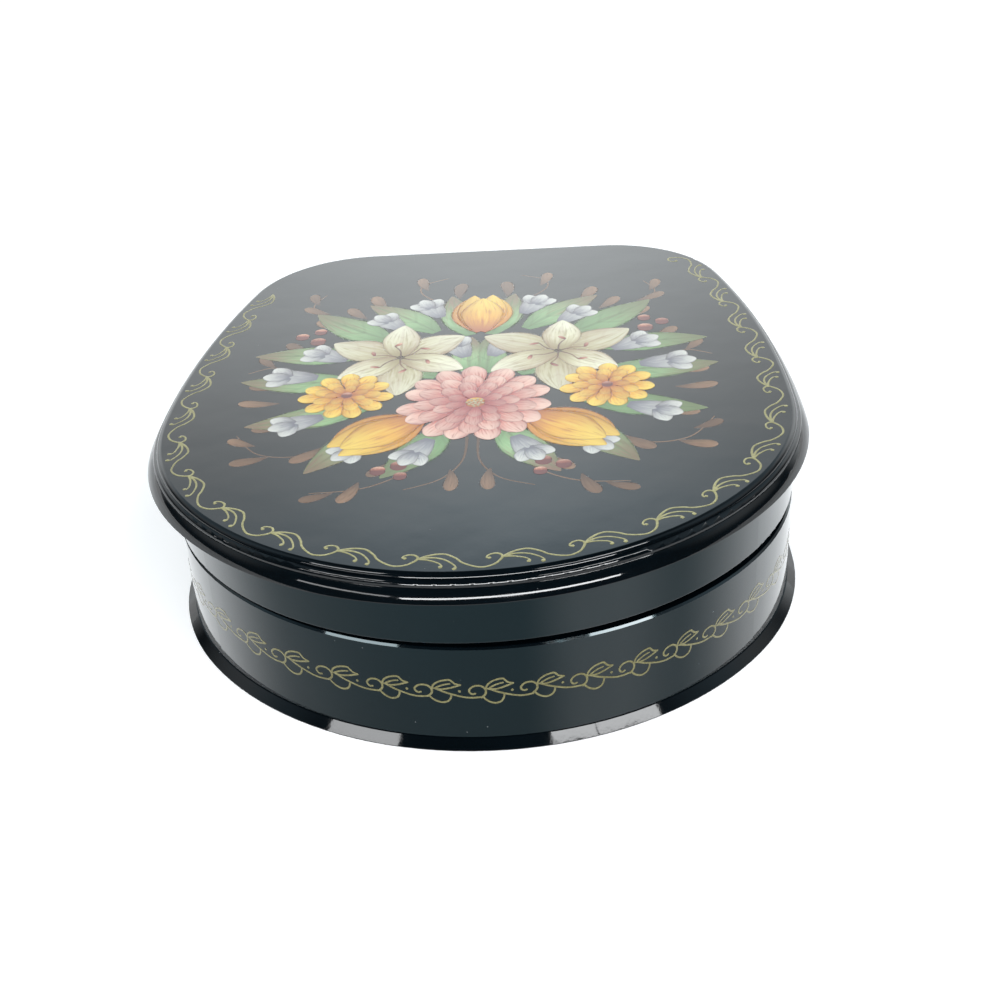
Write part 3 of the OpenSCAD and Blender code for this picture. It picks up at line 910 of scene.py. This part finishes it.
# %% Rosettes and full heads
def rosette(brush, x, y, petals, inner, length, width, coat, turn=0.0, deep=0.3, **shape):
    """Petals in a ring round a point, each second one over its neighbours."""
    for i in range(petals):
        own = tone(brush.count + 0.2)
        heading = turn + 360 * i / petals + 7 * (own - 0.5)
        way = math.radians(heading)
        brush.petal(
            x + inner * math.cos(way), y + inner * math.sin(way), heading, length * (0.94 + 0.12 * own),
            width, (coat + i % 2) * COAT, deep=deep + 0.3 * (own - 0.5), **shape
        )


def head(paint, x, y, size, coat, rings):
    """A full flower head, from its outer ring of petals to its inner one."""
    for k, (petals, inner, length, width, deep) in enumerate(rings):
        rosette(
            brushes[paint], x, y, petals, inner * size, length * size, width * size, coat + 2 * k,
            90 + 7 * k, deep, foot=0.45, widest=0.66, point=0.2,
        )


print("rosettes are rings of petals, and heads are rosettes in each other")


# %% Bells, tulips and lilies
def bell(x, y, heading, size, coat):
    """A bellflower: its cup, then three lobes at its mouth."""
    mist, way = brushes["mist"], math.radians(heading)
    mist.petal(x, y, heading, 6.6 * size, 5.2 * size, coat * COAT, foot=0.35, widest=0.75, deep=0.4)
    mouth = (x + 4.4 * size * math.cos(way), y + 4.4 * size * math.sin(way))
    for k, spread in enumerate((-46, 46, 0)):
        mist.petal(
            *mouth, heading + spread, 4 * size, 3.2 * size, (coat + 1 + k) * COAT,
            foot=0.5, widest=0.55, point=0.3, deep=0.05,
        )


def tulip(x, y, heading, size, coat):
    """A tulip from the side: two outer petals, two behind, then the one in front."""
    petals = (
        (34, -44, 6.4, 14.5), (-34, 44, 6.4, 14.5), (17, -20, 6.6, 15.5), (-17, 20, 6.6, 15.5),
        (0, 0, 8.4, 14),
    )
    for k, (spread, bend, wide, length) in enumerate(petals):
        brushes["amber"].petal(
            x, y, heading + spread, length * size, wide * size, (coat + k) * COAT,
            foot=0.35, widest=0.52, point=0.6, bend=bend, deep=0.55 - 0.11 * k,
        )


def lily(x, y, coat):
    """A lily: three petals, three over them, and six stamens with dark heads."""
    petal = {"foot": 0.4, "widest": 0.5, "point": 0.65, "bend": 8}
    rosette(brushes["cream"], x, y, 3, 0.8, 15, 9.8, coat, 24, 0.4, **petal)
    rosette(brushes["cream"], x, y, 3, 0.7, 13.8, 8.6, coat + 2, 84, 0.12, **petal)
    for k in range(6):
        way = math.radians(14 + 60 * k)
        bow = (x + 2.9 * math.cos(way + 0.2), y + 2.9 * math.sin(way + 0.2))
        tip = (x + 5.4 * math.cos(way), y + 5.4 * math.sin(way))
        brushes["grass"].line([(x, y), bow, tip], [0.45, 0.32, 0.26], (coat + 4) * COAT, 0.0006)
        brushes["berry"].petal(*tip, 74 + 60 * k, 2.0, 1.0, (coat + 5) * COAT, foot=0.5, widest=0.5)


print("kinds of flower:", ", ".join(kind.__name__ for kind in (head, bell, tulip, lily)))

# %% Flowers
BELLS = [
    (26, 11, 28, 1.25), (31, 4, 6, 1.3), (28, -12, -24, 1.25), (7.5, -22, -62, 1.2), (8.5, 29, 64, 1.2),
    (2.5, 10, 68, 1.2), (16, 24, 50, 1.15), (17.5, -21, -46, 1.2),
]
DAHLIA = (
    (15, 8.0, 10.5, 7.0, 0.02), (13, 5.6, 9.0, 6.0, 0.25), (11, 3.8, 7.0, 4.9, 0.5), (9, 2.0, 5.2, 3.8, 0.8),
)
POMPON = ((11, 6.0, 9.5, 7.0, 0.05), (9, 3.6, 7.5, 5.6, 0.35), (7, 1.5, 5.5, 4.2, 0.7))
POMPON_AT, DAHLIA_AT, SEEDS = (24.5, -4), (0, -9), 18

for side in (1, -1):
    use_half(side)
    for x, y, heading, size in BELLS:
        bell(x, y, heading, size, 15)
    tulip(10, -14, -37, 1.2, 19)
    lily(15.5, 11, 25)
    head("amber", *POMPON_AT, 0.58, 31, POMPON)
    brushes["berry"].dot(*POMPON_AT, 1.1, 37 * COAT, 0.0008)
use_half(1)
tulip(0, 21.5, 90, 1.15, 19)
head("rose", *DAHLIA_AT, 0.78, 32, DAHLIA)
brushes["amber"].dot(*DAHLIA_AT, 1.9, 41 * COAT, 0.0008)
for k in range(SEEDS):
    way, out = 2.4 * k, 0.38 * math.sqrt(k)
    seed_at = (DAHLIA_AT[0] + out * math.cos(way), DAHLIA_AT[1] + out * math.sin(way))
    brushes["cream"].dot(*seed_at, 0.32, 43 * COAT, 0.001, 3, 10)
for kind, brush in brushes.items():
    slot = "gold_paint" if kind == "grass" else "flower_paint"
    brush.piece("spray_" + kind, FLOWER_PAINT[kind], "lid", slot)

# %% [markdown]
# ## Sizes and the view
# Paint adds no size that could be measured on a box. The Standard view shows each colour as it is
# written.

# %% The view
bpy.context.scene.view_settings.view_transform = "Standard"
